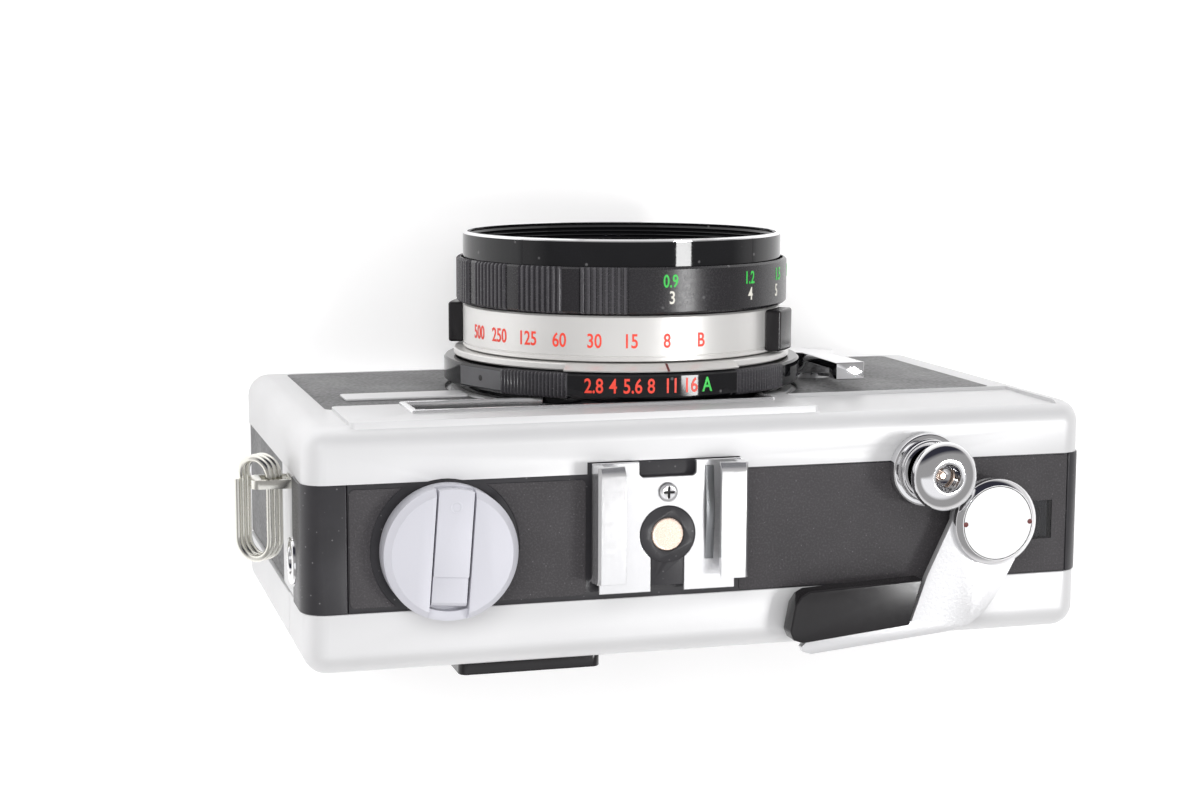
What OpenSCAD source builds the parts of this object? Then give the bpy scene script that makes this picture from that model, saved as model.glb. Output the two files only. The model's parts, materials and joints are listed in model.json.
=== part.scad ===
// Compact fixed-lens 35 mm rangefinder camera, as an assembly of separate pieces.
// Frame: +Z up, the lens looks along -Y, the rewind knob is at +X.
// Origin: mouth of the tripod socket, on the base plane, on the body's centreline.

/* [Body] */
// Width of the body over its end caps
body_w = 111.5; // [108:0.5:114]
// Height of the body from the base to the top plate
body_h = 62.5; // [62.5:0.1:63]
// Depth of the silver front shell
front_d = 7.4; // [7:0.1:8]
// Depth of the black band between the two silver shells
band_d = 17.2; // [17:0.1:17.6]
// Depth of the silver rear shell and door
rear_d = 8.4; // [8.2:0.1:9]
// Radius of the shells' outer edges and corners
edge_r = 3.2; // [2.6:0.1:3.4]
// Wall thickness of the shells
wall = 1.4; // [1.2:0.1:1.5]
// Height of the upper cover above the leatherette
cover_z = 44.8; // [44.6:0.1:45]
// Height of the door's upper edge
door_z = 46.8; // [46.6:0.1:46.9]

/* [Lens] */
// Lens axis, distance from the centreline
lens_x = 3; // [2.5:0.1:3.5]
// Lens axis, height above the base
lens_z = 28; // [27.8:0.1:28.2]
// Outer radius of the aperture ring
aperture_r = 26.6; // [26.4:0.1:26.8]
// Outer radius of the shutter speed ring
shutter_r = 23.6; // [23.4:0.1:23.8]
// Outer radius of the focusing ring
focus_r = 24.6; // [24.5:0.1:24.8]
// Radius of the front filter thread
filter_r = 22.9; // [22.8:0.1:23]
// Radius of the fixed tube that the rings turn on
tube_r = 20.4; // [20.2:0.1:20.5]

/* [Film] */
// Width of the film gate
gate_w = 36; // [36:0.1:36.4]
// Height of the film gate
gate_h = 24; // [24:0.1:24.4]
// Plane of the film bed
film_y = 7.5; // [7.4:0.1:7.6]

/* [Controls] */
// Rewind knob axis, distance from the centreline
rewind_x = 37.1; // [37:0.1:37.3]
// Radius of the rewind knob
rewind_r = 8.95; // [8.8:0.05:9]
// Wind lever axis, distance from the centreline
wind_x = -40.2; // [-40.4:0.1:-40]
// Radius of the cap on the wind lever
wind_cap_r = 6.1; // [5.9:0.1:6.2]
// Shutter button axis, distance from the centreline
button_x = -31; // [-31.2:0.1:-30.8]
// Shutter button axis, distance in front of the body's middle
button_y = -7.3; // [-7.5:0.1:-7.1]

/* [Accessory shoe] */
// Centre of the shoe, distance from the centreline
shoe_x = 6.9; // [6.7:0.1:7.1]
// Inside width of the shoe's slot
shoe_slot_w = 18.65; // [18.6:0.01:18.7]
// Height of the shoe's slot
shoe_slot_h = 2.05; // [2:0.05:2.1]
// Gap between the shoe's lips
shoe_gap_w = 13; // [12.5:0.1:13.1]

/* [Hidden] */
$fn = 64;
half_w = body_w / 2;
band_y = band_d / 2;
front_y = -band_y - front_d;
back_y = band_y + rear_d;
strip_z = [40.5, 53.5];
roof_z = body_h - wall;
chassis_z = [1.8, 52.2];
chassis_split_x = lens_x + 19.6;
rewind_y = 0.4;
crank_lean = -4.3;
take_up = [-42.4, -1];
sprocket = [-23.9, 1.45];
hinge = [-53.7, 15.2];
battery_at = [14, 1];
timer_at = [-28.4, 24.5];
sync_at = [3, 53];
lug_y = -7;
lug_z = 48.1;
lug_tip_x = 60.9;
lug_half = 2.6;
ring_x = 57.65;
ring_lean = 45;
flange_r = 24;
window_x = [-11, 39];
window_z = [45.9, 53.6];
finder_x = 31.4;
cap_x = [-53.3, 50];
counter_x = [-51, -45.4];
counter_y = [-1.9, 3.6];
shoe_y = [-10.2, 7.6];
shoe_base_z = 63.5;
shoe_base_h = 0.6;
shoe_side = 1.15;
shoe_lip = 0.9;
leather_t = 0.6;
leather_x = [-49.6, 50];
leather_z = [4, 44.6];
plate_z = body_h - 0.15;
blade_pivot = 13;
blade_r = 6;

// ---------- shared shapes ----------

// Flat rectangle from (x0, y0) to (x1, y1) with corner radius r at the flagged corners,
// counted from the lower left corner counterclockwise.
module plate2(x0, y0, x1, y1, r, corners = [1, 1, 1, 1]) {
  spots = [[x0 + r, y0 + r], [x1 - r, y0 + r], [x1 - r, y1 - r], [x0 + r, y1 - r]];
  outer = [[x0, y0], [x1 - r, y0], [x1 - r, y1 - r], [x0, y1 - r]];
  translate([x0 + r, y0]) square([x1 - x0 - 2 * r, y1 - y0]);
  translate([x0, y0 + r]) square([x1 - x0, y1 - y0 - 2 * r]);
  for (i = [0:3]) {
    if (corners[i] == 1) translate(spots[i]) circle(r);
    else translate(outer[i]) square(r);
  }
}

// A flat outline in X and Z, given thickness from ya to yb
module thick_y(ya, yb) translate([0, yb, 0]) rotate([90, 0, 0]) linear_extrude(yb - ya) children();
// A flat outline in X and Y, given thickness from za to zb
module thick_z(za, zb) translate([0, 0, za]) linear_extrude(zb - za) children();
// A block between two opposite corners
module block(a, b) translate(a) cube(b - a);
// A round bar along Z
module rod_z(x, y, r, za, zb) translate([x, y, za]) cylinder(r = r, h = zb - za);
// A round bar along Y
module rod_y(x, z, r, ya, yb) translate([x, yb, z]) rotate([90, 0, 0]) cylinder(r = r, h = yb - ya);
// A round bar along X
module rod_x(y, z, r, xa, xb) translate([xa, y, z]) rotate([0, 90, 0]) cylinder(r = r, h = xb - xa);
// A ring or disc on the lens axis, between two heights above the front of the body
module lens_tube(r_out, r_in, va, vb) {
  difference() {
    rod_y(lens_x, lens_z, r_out, front_y - vb, front_y - va);
    if (r_in > 0) rod_y(lens_x, lens_z, r_in, front_y - vb - 1, front_y - va + 1);
  }
}
// A turned piece on the lens axis: outline points are (radius, height above the body's front)
module lens_turned() translate([lens_x, front_y, lens_z]) rotate([90, 0, 0]) rotate_extrude() children();
// Places children at a clock angle on the lens, positive towards -X, seen with +Z up
module on_lens(clock) translate([lens_x, 0, lens_z]) rotate([0, -clock, 0]) children();

// A block with every edge and corner rounded
module soft_block(a, b, r) {
  lo = a + [r, r, r];
  hi = b - [r, r, r];
  block([a.x, lo.y, lo.z], [b.x, hi.y, hi.z]);
  block([lo.x, a.y, lo.z], [hi.x, b.y, hi.z]);
  block([lo.x, lo.y, a.z], [hi.x, hi.y, b.z]);
  for (x = [lo.x, hi.x]) {
    for (y = [lo.y, hi.y]) rod_z(x, y, r, lo.z, hi.z);
    for (z = [lo.z, hi.z]) rod_y(x, z, r, lo.y, hi.y);
    for (y = [lo.y, hi.y], z = [lo.z, hi.z]) translate([x, y, z]) sphere(r);
  }
  for (y = [lo.y, hi.y], z = [lo.z, hi.z]) rod_x(y, z, r, lo.x, hi.x);
}

// Outside form of the body between two planes in Y, cut off flat where it meets the band
module body_form(ya, yb, front_round, back_round) {
  past = 2 * edge_r;
  intersection() {
    soft_block([-half_w, ya - (1 - front_round) * past, 0],
      [half_w, yb + (1 - back_round) * past, body_h], edge_r);
    block([-80, ya, -1], [80, yb, body_h + 1]);
  }
}

// ---------- covers and trim ----------

module front_cover() {
  color("silver") difference() {
    union() {
      difference() {
        body_form(front_y, -band_y, 1, 0);
        thick_y(front_y + wall, 0) plate2(-half_w + wall, wall, half_w - wall, roof_z, edge_r - wall);
        // the plain panel beside the windows is set back
        block([-52, front_y - 1, cover_z], [-16, front_y + 0.5, body_h - 0.8]);
      }
      // raised panel around the windows
      thick_y(front_y - 0.5, front_y + 0.7) plate2(-16, cover_z, 49.3, body_h - 1.6, 0.8);
    }
    rod_y(lens_x, lens_z, tube_r + 0.4, front_y - 2, 0);
    // room for the lens flange in the raised panel
    rod_y(lens_x, lens_z, flange_r + 0.4, front_y - 2, front_y);
    thick_y(front_y - 2, front_y + 3) plate2(window_x[0], window_z[0], window_x[1], window_z[1], 0.4);
    thick_y(front_y - 2, front_y + 0.2) window_outline();
    leather_outline(front_y - 2, front_y + leather_t);
    // cut-outs in the roof for the shoe, the rewind knob and the shutter button
    block([shoe_x - 10.8, -band_y - 1.6, roof_z - 1], [shoe_x + 10.8, 0, body_h + 1]);
    rod_z(rewind_x, rewind_y, rewind_r + 0.35, roof_z - 1, body_h + 1);
    rod_z(button_x, button_y, 3.8, roof_z - 1, body_h + 1);
    rod_y(timer_at[0], timer_at[1], 1.6, front_y - 2, 0);
  }
}

module leather_outline(ya, yb) {
  thick_y(ya, yb) difference() {
    plate2(leather_x[0], leather_z[0], leather_x[1], leather_z[1], 1.2);
    translate([lens_x, lens_z]) circle(25.5);
  }
}

module front_leatherettes() {
  color("dimgray") difference() {
    leather_outline(front_y, front_y + leather_t);
    rod_y(lens_x, lens_z, 26.3, front_y - 2, 0);
    rod_y(timer_at[0], timer_at[1], 4.2, front_y - 2, 0);
  }
}

module info_plate() {
  color("silver") thick_y(front_y - 0.35, front_y) plate2(28.2, 31.2, 46, 36.8, 0.6);
}

module window_outline() plate2(window_x[0] - 1, window_z[0] - 0.9, window_x[1] + 1, window_z[1] + 0.8, 0.8);

module window_frame() {
  color("gainsboro") thick_y(front_y - 0.9, front_y + 0.2) difference() {
    window_outline();
    plate2(window_x[0], window_z[0], window_x[1], window_z[1], 0.4);
    translate([lens_x, lens_z]) circle(flange_r + 0.4);
  }
}

// Moulded finder body: its front face is the dark mask behind the windows
module viewfinder_block() {
  mask_y = front_y + 0.4;
  color([0.06, 0.06, 0.06]) difference() {
    union() {
      thick_y(mask_y, front_y + wall) difference() {
        plate2(window_x[0] + 0.2, window_z[0] + 0.2, window_x[1] - 0.2, window_z[1] - 0.2, 0.4);
        translate([lens_x, lens_z]) circle(tube_r + 0.6);
      }
      block([-10, front_y + 0.9, 53.05], [finder_x, front_y + wall + 0.1, 53.35]);
      block([-10, front_y + wall, 52.6], [finder_x, 13.4, 60.6]);
    }
    // light path from the finder window to the eyepiece
    block([20.5, front_y, 54], [30.5, 14, 59.6]);
    // light path of the rangefinder window
    block([-8, front_y + 3, 54], [-3, 6, 59.6]);
    block([-8, 1, 54], [21, 6, 59.6]);
  }
}

module window_glass() {
  color([0.8, 0.88, 0.9, 0.4]) {
    block([18.6, front_y, 46.8], [36.6, front_y + 0.4, 52.8]);
    block([-9.6, front_y, 48.6], [-4.2, front_y + 0.4, 52.8]);
  }
}

module frame_light_window() {
  color("white") difference() {
    block([-2.6, front_y, 47.2], [17, front_y + 0.4, 52.8]);
    rod_y(lens_x, lens_z, tube_r + 0.6, front_y - 2, 0);
  }
}

module top_plate() {
  color([0.1, 0.1, 0.1]) difference() {
    union() {
      block([cap_x[0], -band_y, roof_z], [cap_x[1], band_y, plate_z]);
      // arc that the rewind knob pushes into the front shell
      intersection() {
        rod_z(rewind_x, rewind_y, rewind_r + 0.3, roof_z, plate_z);
        block([0, -20, 0], [60, 0, 80]);
      }
      // apron under the front of the shoe
      block([shoe_x - 10.7, -band_y - 1.5, roof_z], [shoe_x + 10.7, 0, plate_z]);
      top_panels();
    }
    rod_z(rewind_x, rewind_y, 5.6, 60, 64);
    rod_z(button_x, button_y, 3.8, 60, 64);
    rod_z(wind_x, 0, 2.6, 60, 64);
    block([counter_x[0], counter_y[0], 60], [counter_x[1], counter_y[1], 64]);
  }
}

// Grained panels that stand a little above the smooth border of the top plate
module top_panels() {
  border = 0.7;
  thick_z(body_h - 0.4, body_h) difference() {
    union() {
      plate2(rewind_x, -band_y + border, cap_x[1] - 0.15, band_y - border, 0.8);
      plate2(shoe_x + 11, -band_y + border, rewind_x, band_y - border, 0.8);
      plate2(cap_x[0] + 0.15, -band_y + 0.2, shoe_x - 10.8, band_y - 0.2, 0.4);
    }
    translate([rewind_x, rewind_y]) circle(rewind_r + 1.1);
  }
}

module end_caps() {
  color([0.12, 0.12, 0.12]) {
    difference() {
      end_cap(cap_x[1] + 0.1);
      rod_x(sync_at[0], sync_at[1], 3.4, 40, 60);
    }
    mirror([1, 0, 0]) end_cap(-cap_x[0] + 0.1);
  }
}

// Cap that turns the band over one end of the body, from its seam outwards
module end_cap(seam) {
  outer = half_w + 0.3;
  difference() {
    thick_y(-band_y, band_y) intersection() {
      plate2(0, strip_z[1], outer, body_h, 3.4, [0, 0, 1, 0]);
      translate([seam, 0]) square([outer - seam, body_h]);
    }
    block([0, -band_y - 1, strip_z[1] - 1], [outer - 1.5, band_y + 1, roof_z]);
  }
}

module side_strips() {
  color("silver") {
    difference() {
      block([half_w - 1.4, -band_y, strip_z[0]], [half_w - 0.2, band_y, strip_z[1]]);
      rod_x(sync_at[0], sync_at[1], 3.4, 40, 60);
      block([50, lug_y - 0.7, lug_z - lug_half - 0.2], [60, lug_y + 0.7, lug_z + lug_half + 0.2]);
    }
    block([-half_w + 0.2, -band_y, strip_z[0]], [-half_w + 1.4, band_y, strip_z[1]]);
  }
}

module side_leatherettes() {
  color("dimgray") for (s = [-1, 1]) {
    xa = s * (half_w - 1.1);
    xb = s * (half_w - 0.4);
    block([min(xa, xb), -band_y, 1.8], [max(xa, xb), band_y, strip_z[0]]);
  }
}

module rear_cover() {
  color("silver") difference() {
    union() {
      intersection() {
        body_form(band_y, back_y, 0, 1);
        block([-80, 0, door_z + 0.2], [80, 40, 80]);
      }
      // fixed end post that carries the door hinge
      block([-half_w, band_y, edge_r], [-half_w + wall, 13.1, door_z + 1]);
      hinge_knuckle(1.5, 12);
      hinge_knuckle(35, 46);
    }
    thick_y(0, back_y - wall) plate2(-half_w + wall, door_z + wall, half_w - wall, roof_z, 2);
    block([15.6, 12, 49.3], [33.4, 20, 57.3]);
    rod_z(rewind_x, rewind_y, rewind_r + 0.35, roof_z - 1, body_h + 1);
    rod_z(hinge[0], hinge[1], 0.8, 0, 46.5);
  }
}

// Barrel of the door hinge that belongs to the body, tied to the end post
module hinge_knuckle(za, zb) {
  rod_z(hinge[0], hinge[1], 1.7, za, zb);
  block([-half_w, 12.8, za], [-half_w + wall, hinge[1], zb]);
}

module door_hinge_pin() {
  color("silver") rod_z(hinge[0], hinge[1], 0.75, 1.7, 46.3);
}

module eyepiece_frame() {
  color([0.05, 0.05, 0.05]) difference() {
    union() {
      thick_y(back_y, back_y + 2) plate2(14.6, 48.3, 34.4, 58.3, 1.2);
      block([15.8, 13.6, 49.5], [33.2, back_y + 0.2, 57.1]);
    }
    thick_y(10, 22) plate2(18, 50.6, 31, 56.4, 1);
    thick_y(back_y + 1.2, 22) plate2(16.8, 49.6, 32.2, 57.2, 1);
  }
}

module eyepiece_glass() {
  color([0.8, 0.88, 0.9, 0.4]) block([17, back_y + 1.2, 49.8], [32, back_y + 1.8, 57]);
}

module base_plate() {
  color("silver") difference() {
    intersection() {
      thick_y(-band_y, band_y) plate2(-half_w, 0, half_w, body_h, edge_r);
      block([-80, -20, 0], [80, 20, 1.8]);
    }
    rod_z(0, 0, 5.5, -1, 3);
    rod_z(battery_at[0], battery_at[1], 7.4, -1, 3);
    rod_z(sprocket[0], sprocket[1], 2.5, -1, 3);
  }
}

module tripod_socket() {
  color("silver") difference() {
    union() {
      rod_z(0, 0, 5.5, 0, 1.8);
      rod_z(0, 0, 6.4, 1.8, 6);
    }
    rod_z(0, 0, 3.175, -1, 5.6);
  }
}

// ---------- chassis ----------

module chassis() {
  side = half_w - 1.1;
  difference() {
    union() {
      block([-side, -8.4, chassis_z[0]], [side, 8.4, strip_z[0]]);
      block([-side + 0.3, -8.4, strip_z[0]], [side - 0.3, 8.4, chassis_z[1]]);
      intersection() {
        union() {
          rod_z(rewind_x, rewind_y, 14.6, 4.2, 51.6);
          rod_z(take_up[0], take_up[1], 12, 7, 49);
        }
        block([-54, -14.4, 0], [51.4, -8, 60]);
      }
    }
    // film cartridge chamber, open towards the door
    rod_z(rewind_x, rewind_y, 13.2, 5.2, 50.6);
    block([rewind_x - 13.2, rewind_y, 5.2], [rewind_x + 13.2, 20, 50.6]);
    // take-up chamber
    rod_z(take_up[0], take_up[1], 11, 8, 48);
    block([take_up[0] - 11, take_up[1], 8], [take_up[0] + 11, 20, 48]);
    // sprocket pocket
    rod_z(sprocket[0], sprocket[1], 7.5, 9.5, 46.5);
    block([sprocket[0] - 7.5, sprocket[1], 9.5], [sprocket[0] + 7.5, 20, 46.5]);
    // film bed
    block([-32, film_y, 8], [26, 12, 48]);
    // gate, a straight light tunnel from the lens to the film
    block([lens_x - gate_w / 2, -9, lens_z - gate_h / 2], [lens_x + gate_w / 2, 12, lens_z + gate_h / 2]);
    bottom_pockets();
    rod_z(rewind_x, rewind_y, 2.8, 50, 54);
    rod_z(take_up[0], take_up[1], 2.5, 6, 51);
    rod_z(sprocket[0], sprocket[1], 2.3, 8, 48.5);
    // latch pocket, strap lug stem, sync socket
    block([51.6, 4.8, 23.2], [53.9, 12, 32.8]);
    block([50.6, lug_y - 0.6, lug_z - lug_half], [60, lug_y + 0.6, lug_z + lug_half]);
    rod_x(sync_at[0], sync_at[1], 3.4, 51.3, 60);
  }
}

// die-cast frame: take-up chamber, sprocket pocket, film bed and gate
module body_frame() {
  color([0.15, 0.15, 0.15]) intersection() {
    chassis();
    block([-60, -20, 0], [chassis_split_x, 20, 60]);
  }
}

// rewind end of the frame: the film cartridge chamber
module cartridge_shell() {
  color([0.18, 0.18, 0.18]) intersection() {
    chassis();
    block([chassis_split_x, -20, 0], [60, 20, 60]);
  }
}

module bottom_pockets() {
  rod_z(0, 0, 6.4, 0, 6);
  rod_z(battery_at[0], battery_at[1], 6.1, 0, 9.2);
  rod_z(battery_at[0], battery_at[1], 7.4, 0, 2.6);
  rod_z(sprocket[0], sprocket[1], 2.5, 0, 6.4);
}

module battery() {
  color("silver") {
    rod_z(battery_at[0], battery_at[1], 5.8, 2.8, 7.4);
    rod_z(battery_at[0], battery_at[1], 4.6, 7.4, 8.8);
  }
}

module battery_cover() {
  color("silver") difference() {
    rod_z(battery_at[0], battery_at[1], 7.15, 0.1, 2.5);
    block([battery_at[0] - 5.5, battery_at[1] - 0.8, -1], [battery_at[0] + 5.5, battery_at[1] + 0.8, 1.1]);
  }
}

module rewind_release_button() {
  color("silver") rod_z(sprocket[0], sprocket[1], 2.2, 0.3, 5);
}

// ---------- door ----------

module back_door() {
  lo_x = hinge[0] + 2.1;
  color("silver") difference() {
    union() {
      difference() {
        intersection() {
          body_form(band_y + 0.2, back_y, 0, 1);
          block([lo_x, 0, 0.2], [80, 40, door_z]);
        }
        block([-80, 0, wall + 0.2], [half_w - wall, back_y - wall, door_z - wall]);
        thick_y(back_y - leather_t, 40) plate2(-49.5, 3.6, 51.5, door_z - 3, 1.2);
      }
      // barrel of the hinge on the door
      rod_z(hinge[0], hinge[1], 1.7, 12.3, 34.7);
      block([hinge[0], hinge[1], 12.3], [lo_x + 1, back_y - 0.2, 34.7]);
      // latch hook
      block([52.3, 5.4, 24], [53.2, back_y - wall + 0.2, 32]);
      block([51.9, 5.4, 24], [53.2, 6.6, 32]);
    }
    rod_z(hinge[0], hinge[1], 0.82, 0, 50);
  }
}

module back_leatherette() {
  color("dimgray") thick_y(back_y - leather_t, back_y) plate2(-49.5, 3.6, 51.5, door_z - 3, 1.2);
}

module pressure_plate() {
  color([0.1, 0.1, 0.1]) thick_y(film_y + 0.25, film_y + 1.25) plate2(-15.2, 12, 24, 44, 1.5);
}

// Bowed leaf on the back of the pressure plate
module pressure_spring() {
  foot = film_y + 1.25;
  top = back_y - wall - 0.75;
  color("silver") thick_z(24, 32) polygon([[-12, foot], [-8.8, foot], [2.1, top - 0.3],
    [6.9, top - 0.3], [17.8, foot], [21, foot], [21, foot + 0.3], [18.1, foot + 0.3],
    [7, top], [2, top], [-9.1, foot + 0.3], [-12, foot + 0.3]]);
}

// ---------- film transport ----------

module takeup_spool() {
  color([0.1, 0.1, 0.1]) difference() {
    union() {
      rod_z(take_up[0], take_up[1], 7, 9, 47);
      rod_z(take_up[0], take_up[1], 8.6, 9, 10.2);
      rod_z(take_up[0], take_up[1], 8.6, 45.8, 47);
      rod_z(take_up[0], take_up[1], 2.2, 6.4, 50.4);
    }
    for (a = [0:60:300]) translate([take_up[0], take_up[1], 12]) rotate(a)
      translate([4, -0.6, 0]) cube([5, 1.2, 32]);
  }
}

module sprocket_wheel() {
  color("silver") {
    rod_z(sprocket[0], sprocket[1], 4.6, 10, 46);
    rod_z(sprocket[0], sprocket[1], 2, 8.4, 48);
    for (dz = [-13.4, 11.4]) {
      rod_z(sprocket[0], sprocket[1], 6, lens_z + dz, lens_z + dz + 2);
      for (a = [0:45:315]) translate([sprocket[0], sprocket[1], lens_z + dz + 0.4]) rotate(a + 22.5)
        translate([5.5, -0.6, 0]) cube([1.6, 1.2, 1.2]);
    }
  }
}

// ---------- rewind ----------

module rewind_sleeve() {
  color("silver") difference() {
    rod_z(rewind_x, rewind_y, 5.3, 56, 62.6);
    rod_z(rewind_x, rewind_y, 2.5, 50, 70);
  }
}

module rewind_shaft() {
  color("silver") {
    rod_z(rewind_x, rewind_y, 2.4, 46, 64);
    translate([rewind_x, rewind_y, 43.5]) translate([-2.2, -0.6, 0]) cube([4.4, 1.2, 2.6]);
  }
}

// Children are laid out in the crank's own frame: +Y towards its hinge
module on_rewind() translate([rewind_x, rewind_y, 0]) rotate(crank_lean) children();

module rewind_knob() {
  bevel = 0.9;
  color("gainsboro") on_rewind() difference() {
    rotate_extrude() polygon([[0, 62.9], [rewind_r - 0.3, 62.9], [rewind_r, 63.2],
      [rewind_r, 66.5], [rewind_r - bevel, 67.4], [0, 67.4]]);
    // slot for the crank, ending in a low sill at the hinge end
    block([-2.65, -20, 65], [2.65, 5, 70]);
    intersection() {
      block([-2.65, 0, 65], [2.65, 20, 70]);
      cylinder(r = 7.7, h = 70);
    }
    block([-2.65, 0, 66.2], [2.65, 20, 70]);
    cylinder(r = 2.4, h = 64);
  }
}

module rewind_crank() {
  color("gainsboro") on_rewind() {
    intersection() {
      union() {
        block([-2.35, -12, 66], [2.35, 2.9, 67.35]);
        block([-2.35, 2.8, 66], [2.35, 6.4, 67]);
      }
      translate([0, 0, 60]) cylinder(r = rewind_r - 0.25, h = 10);
    }
    // folded grip on the underside
    rod_z(0, -6.3, 1.5, 65.45, 66.1);
    // trunnion at the hinge
    rod_x(6.2, 66.25, 0.75, -2.35, 2.35);
  }
}

// ---------- wind lever ----------

module wind_lever() {
  color("gainsboro") {
    difference() {
      thick_z(64.7, 65.9) {
        translate([wind_x, 0]) circle(wind_cap_r - 0.2);
        polygon([[-34.4, -1], [-30.4, 7.4], [-28.2, 13.6], [-12.6, 15.6], [-11.9, 16.2],
          [-12.1, 16.9], [-13.4, 17.3], [-33.6, 15.4], [-36.9, 14.6], [-39.2, 13],
          [-41.4, 10], [-44.6, 4]]);
        polygon([[-28.4, 9.6], [-13.5, 11.2], [-13.5, 15.7], [-27.5, 14]]);
      }
      rod_z(wind_x, 0, 2.1, 60, 70);
    }
    difference() {
      rod_z(wind_x, 0, 5.2, 62.8, 64.7);
      rod_z(wind_x, 0, 2.1, 60, 70);
    }
  }
}

// Moulded black grip over the end of the lever
module wind_grip() {
  color([0.06, 0.06, 0.06]) difference() {
    thick_z(63.9, 66.9) polygon([[-12.6, 8.3], [-11.4, 8.9], [-10.6, 10.1], [-9.9, 13.8],
      [-10.4, 15], [-11.8, 15.5], [-27.5, 13.9], [-29.4, 7.5]]);
    thick_z(64.7, 65.9) polygon([[-28.4, 9.6], [-13.5, 11.2], [-13.5, 19], [-31, 19], [-31, 9.4]]);
  }
}

module wind_cap() {
  color("silver") translate([wind_x, 0, 0]) difference() {
    rotate_extrude() polygon([[0, 56], [2.1, 56], [2.1, 65.9], [wind_cap_r, 65.9],
      [wind_cap_r, 66.9], [wind_cap_r - 0.9, 67.5], [0, 67.5]]);
    for (s = [-1, 1]) rod_z(s * 4.6, 0, 0.35, 66.9, 70);
  }
}

module counter_dial() {
  color([0.05, 0.05, 0.05]) difference() {
    rod_z(wind_x, 0, 9.7, 58.1, 58.9);
    rod_z(wind_x, 0, 2.4, 50, 70);
  }
}

module counter_window() {
  color([0.7, 0.7, 0.7, 0.4])
    block([counter_x[0], counter_y[0], roof_z + 0.2], [counter_x[1], counter_y[1], body_h - 0.1]);
}

// ---------- shutter button ----------

module button_collar() {
  color("silver") translate([button_x, button_y, 0]) rotate_extrude()
    polygon([[3.5, roof_z - 0.4], [3.8, roof_z - 0.4], [3.8, body_h], [5.15, body_h],
      [5.15, body_h + 1.4], [4.9, body_h + 1.7], [4.4, body_h + 1.7], [4.4, body_h + 2.6],
      [4.2, body_h + 2.8], [3.5, body_h + 2.8]]);
}

module shutter_button() {
  color("silver") translate([button_x, button_y, 0]) difference() {
    rotate_extrude() polygon([[0, 55], [1.6, 55], [1.6, 61.3], [3.2, 61.3], [3.2, 67.6],
      [4.5, 68], [4.8, 68.6], [4.8, 69.4], [4.5, 70.2], [3.8, 70.8], [2.9, 71], [0, 71]]);
    translate([0, 0, 67.5]) cylinder(r = 1.75, h = 5);
    translate([0, 0, 70.4]) cylinder(r1 = 1.75, r2 = 2.4, h = 0.7);
  }
}

// ---------- accessory shoe ----------

module accessory_shoe() {
  top = shoe_base_z + shoe_base_h;
  outer = shoe_slot_w / 2 + shoe_side;
  color("gainsboro") difference() {
    union() {
      block([shoe_x - outer, shoe_y[0], shoe_base_z], [shoe_x + outer, shoe_y[1], top]);
      for (s = [-1, 1]) {
        xa = shoe_x + s * outer;
        xb = shoe_x + s * shoe_slot_w / 2;
        xc = shoe_x + s * shoe_gap_w / 2;
        block([min(xa, xb), shoe_y[0], shoe_base_z], [max(xa, xb), 5.8, top + shoe_slot_h + shoe_lip]);
        block([min(xa, xc), shoe_y[0], top + shoe_slot_h], [max(xa, xc), 5.8, top + shoe_slot_h + shoe_lip]);
      }
    }
    // keyhole for the contact's insulator
    rod_z(shoe_x, -0.2, 3.9, 60, top + 1);
    block([shoe_x - 2.35, -0.2, 60], [shoe_x + 2.35, 20, top + 1]);
    // stop notch at the front
    block([shoe_x - 4, -9.9, 60], [shoe_x + 4, -8.3, top + 1]);
    rod_z(shoe_x, -6, 0.9, 60, top + 1);
  }
}

module shoe_insulator() {
  color([0.06, 0.06, 0.06]) difference() {
    union() {
      block([shoe_x - 9.4, -7.9, plate_z], [shoe_x + 9.4, 6.8, shoe_base_z]);
      rod_z(shoe_x, -0.2, 3.85, shoe_base_z - 0.1, shoe_base_z + shoe_base_h);
      block([shoe_x - 2.3, -0.2, shoe_base_z - 0.1], [shoe_x + 2.3, 6.8, shoe_base_z + shoe_base_h - 0.15]);
    }
    rod_z(shoe_x, -0.2, 2.3, 60, 70);
    rod_z(shoe_x, -6, 0.9, 60, 70);
  }
}

module shoe_contact() {
  color("darkorange") rod_z(shoe_x, -0.2, 2.25, plate_z, shoe_base_z + shoe_base_h + 0.1);
}

module shoe_spring() {
  top = shoe_base_z + shoe_base_h;
  color("gray") translate([0, 0, top]) {
    block([shoe_x - 6.4, -9.4, 0], [shoe_x - 5.3, 3.4, 0.3]);
    block([shoe_x - 6.4, -7, 0], [shoe_x - 5.3, 1, 0.55]);
  }
}

module shoe_screw() {
  top = shoe_base_z + shoe_base_h;
  color("silver") translate([shoe_x, -6, 0]) difference() {
    rotate_extrude() polygon([[0, plate_z], [0.85, plate_z], [0.85, top], [1.35, top],
      [1.3, top + 0.35], [0.9, top + 0.5], [0, top + 0.5]]);
    for (a = [0, 90]) rotate(a) translate([-0.8, -0.15, top + 0.2]) cube([1.6, 0.3, 1]);
  }
}

// ---------- left end fittings ----------

module sync_socket() {
  color("silver") {
    difference() {
      rod_x(sync_at[0], sync_at[1], 3.2, 51.3, 56.4);
      rod_x(sync_at[0], sync_at[1], 1.8, 52.6, 60);
    }
    rod_x(sync_at[0], sync_at[1], 0.6, 52, 55.9);
  }
}

module strap_lug() {
  color("silver") difference() {
    thick_y(lug_y - 0.6, lug_y + 0.6)
      plate2(50.6, lug_z - lug_half, lug_tip_x, lug_z + lug_half, 1.2, [0, 1, 1, 0]);
    block([ring_x - 1.9, lug_y - 2, lug_z - 1.9], [ring_x + 1.9, lug_y + 2, lug_z + 1.9]);
  }
}

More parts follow.
